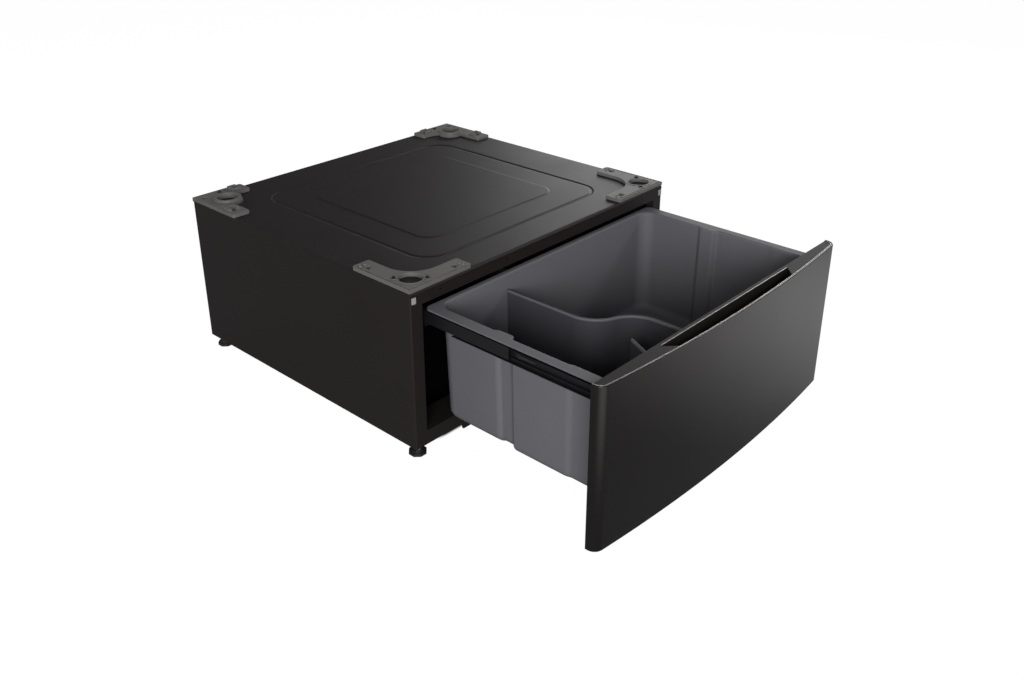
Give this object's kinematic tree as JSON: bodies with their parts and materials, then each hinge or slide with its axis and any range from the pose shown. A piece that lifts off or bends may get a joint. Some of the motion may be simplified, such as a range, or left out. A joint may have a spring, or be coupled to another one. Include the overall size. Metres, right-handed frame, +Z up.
{
  "type": "washer pedestal drawer",
  "caption": "Low steel pedestal that a front-loading washer stands on, with a bowed-front storage drawer on ball-bearing slides and levelling feet.",
  "frame": {"origin": "on the floor, below the middle of the footprint with the drawer pulled out", "axes": "+X to the right seen from the front, +Y from the drawer's front towards the back, +Z up"},
  "size_m": [0.737, 1.091, 0.349],
  "materials": {
    "case": "satin dark paint",
    "bracket": "matt grey moulding",
    "slide": "black electrocoat",
    "bare_steel": "zinc plated",
    "bright": "polished",
    "bin": "fine textured",
    "divider": "fine textured",
    "panel": "dark metallic lacquer over a fine brush",
    "trim": "semi gloss",
    "tab": "pale natural",
    "foot_rubber": "moulded",
    "lever": "moulded"
  },
  "bodies": {
    "cabinet": {"top_panel": "case", "side_panel_left": "case", "side_panel_right": "case", "back_panel": "case", "front_top_rail": "case", "front_bottom_rail": "case", "rear_bottom_rail": "case", "base_channel_left": "case", "base_channel_right": "case", "foot_nuts": "bare_steel", "lock_nuts": "bare_steel", "corner_tabs": "tab", "case_screws": "slide", "bracket_front_left": "bracket", "bracket_front_right": "bracket", "bracket_rear_left": "bracket", "bracket_rear_right": "bracket", "bracket_screws": "slide", "slide_hanger_left": "slide", "slide_hanger_right": "slide", "slide_outer_left": "slide", "slide_outer_right": "slide"},
    "drawer": {"slide_inner_left": "slide", "slide_inner_right": "slide", "drawer_rail_left": "slide", "drawer_rail_right": "slide", "rail_screws": "slide", "drawer_bin": "bin", "bin_divider": "divider", "bottle_rib": "divider", "front_panel": "panel", "panel_back": "trim", "panel_top_cap": "trim", "panel_bottom_cap": "trim", "handle_cup": "trim", "panel_screws": "slide", "panel_bumpers": "foot_rubber"},
    "middle_left": {"slide_middle_left": "slide"},
    "outer_cage_left": {"cage_outer_left": "bare_steel", "balls_outer_left": "bright"},
    "inner_cage_left": {"cage_inner_left": "bare_steel", "balls_inner_left": "bright"},
    "lever_left": {"release_lever_left": "lever"},
    "middle_right": {"slide_middle_right": "slide"},
    "outer_cage_right": {"cage_outer_right": "bare_steel", "balls_outer_right": "bright"},
    "inner_cage_right": {"cage_inner_right": "bare_steel", "balls_inner_right": "bright"},
    "lever_right": {"release_lever_right": "lever"},
    "foot_front_left": {"foot_pad_front_left": "foot_rubber", "foot_stud_front_left": "bright"},
    "foot_front_right": {"foot_pad_front_right": "foot_rubber", "foot_stud_front_right": "bright"},
    "foot_rear_left": {"foot_pad_rear_left": "foot_rubber", "foot_stud_rear_left": "bright"},
    "foot_rear_right": {"foot_pad_rear_right": "foot_rubber", "foot_stud_rear_right": "bright"}
  },
  "joints": [
    {"name": "drawer_slide", "type": "slide", "parent": "cabinet", "child": "drawer", "axis": [0, 1, 0], "range_m": [0, 0.381]},
    {"name": "middle_left_slide", "type": "slide", "parent": "cabinet", "child": "middle_left", "axis": [0, 1, 0], "range_m": [0, 0.1906]},
    {"name": "outer_cage_left_slide", "type": "slide", "parent": "cabinet", "child": "outer_cage_left", "axis": [0, 1, 0], "range_m": [0, 0.09535]},
    {"name": "inner_cage_left_slide", "type": "slide", "parent": "cabinet", "child": "inner_cage_left", "axis": [0, 1, 0], "range_m": [0, 0.28585]},
    {"name": "lever_left_pivot", "type": "hinge", "parent": "drawer", "child": "lever_left", "pos_m": [-0.32035, -0.3245, 0.2763], "axis": [1, 0, 0], "range_deg": [0, 6], "stiffness_Nm_per_rad": 0.02},
    {"name": "middle_right_slide", "type": "slide", "parent": "cabinet", "child": "middle_right", "axis": [0, 1, 0], "range_m": [0, 0.1906]},
    {"name": "outer_cage_right_slide", "type": "slide", "parent": "cabinet", "child": "outer_cage_right", "axis": [0, 1, 0], "range_m": [0, 0.09535]},
    {"name": "inner_cage_right_slide", "type": "slide", "parent": "cabinet", "child": "inner_cage_right", "axis": [0, 1, 0], "range_m": [0, 0.28585]},
    {"name": "lever_right_pivot", "type": "hinge", "parent": "drawer", "child": "lever_right", "pos_m": [0.32035, -0.3245, 0.2763], "axis": [-1, 0, 0], "range_deg": [0, 6], "stiffness_Nm_per_rad": 0.02},
    {"name": "foot_front_left_screw", "type": "slide", "parent": "cabinet", "child": "foot_front_left", "axis": [0, 0, -1], "range_m": [0, 0.012]},
    {"name": "foot_front_right_screw", "type": "slide", "parent": "cabinet", "child": "foot_front_right", "axis": [0, 0, -1], "range_m": [0, 0.012]},
    {"name": "foot_rear_left_screw", "type": "slide", "parent": "cabinet", "child": "foot_rear_left", "axis": [0, 0, -1], "range_m": [0, 0.012]},
    {"name": "foot_rear_right_screw", "type": "slide", "parent": "cabinet", "child": "foot_rear_right", "axis": [0, 0, -1], "range_m": [0, 0.012]}
  ],
  "couplings": [
    {"joint": "middle_left_slide", "follows": "drawer_slide", "ratio": 0.5},
    {"joint": "outer_cage_left_slide", "follows": "drawer_slide", "ratio": 0.25},
    {"joint": "inner_cage_left_slide", "follows": "drawer_slide", "ratio": 0.75},
    {"joint": "middle_right_slide", "follows": "drawer_slide", "ratio": 0.5},
    {"joint": "outer_cage_right_slide", "follows": "drawer_slide", "ratio": 0.25},
    {"joint": "inner_cage_right_slide", "follows": "drawer_slide", "ratio": 0.75}
  ]
}
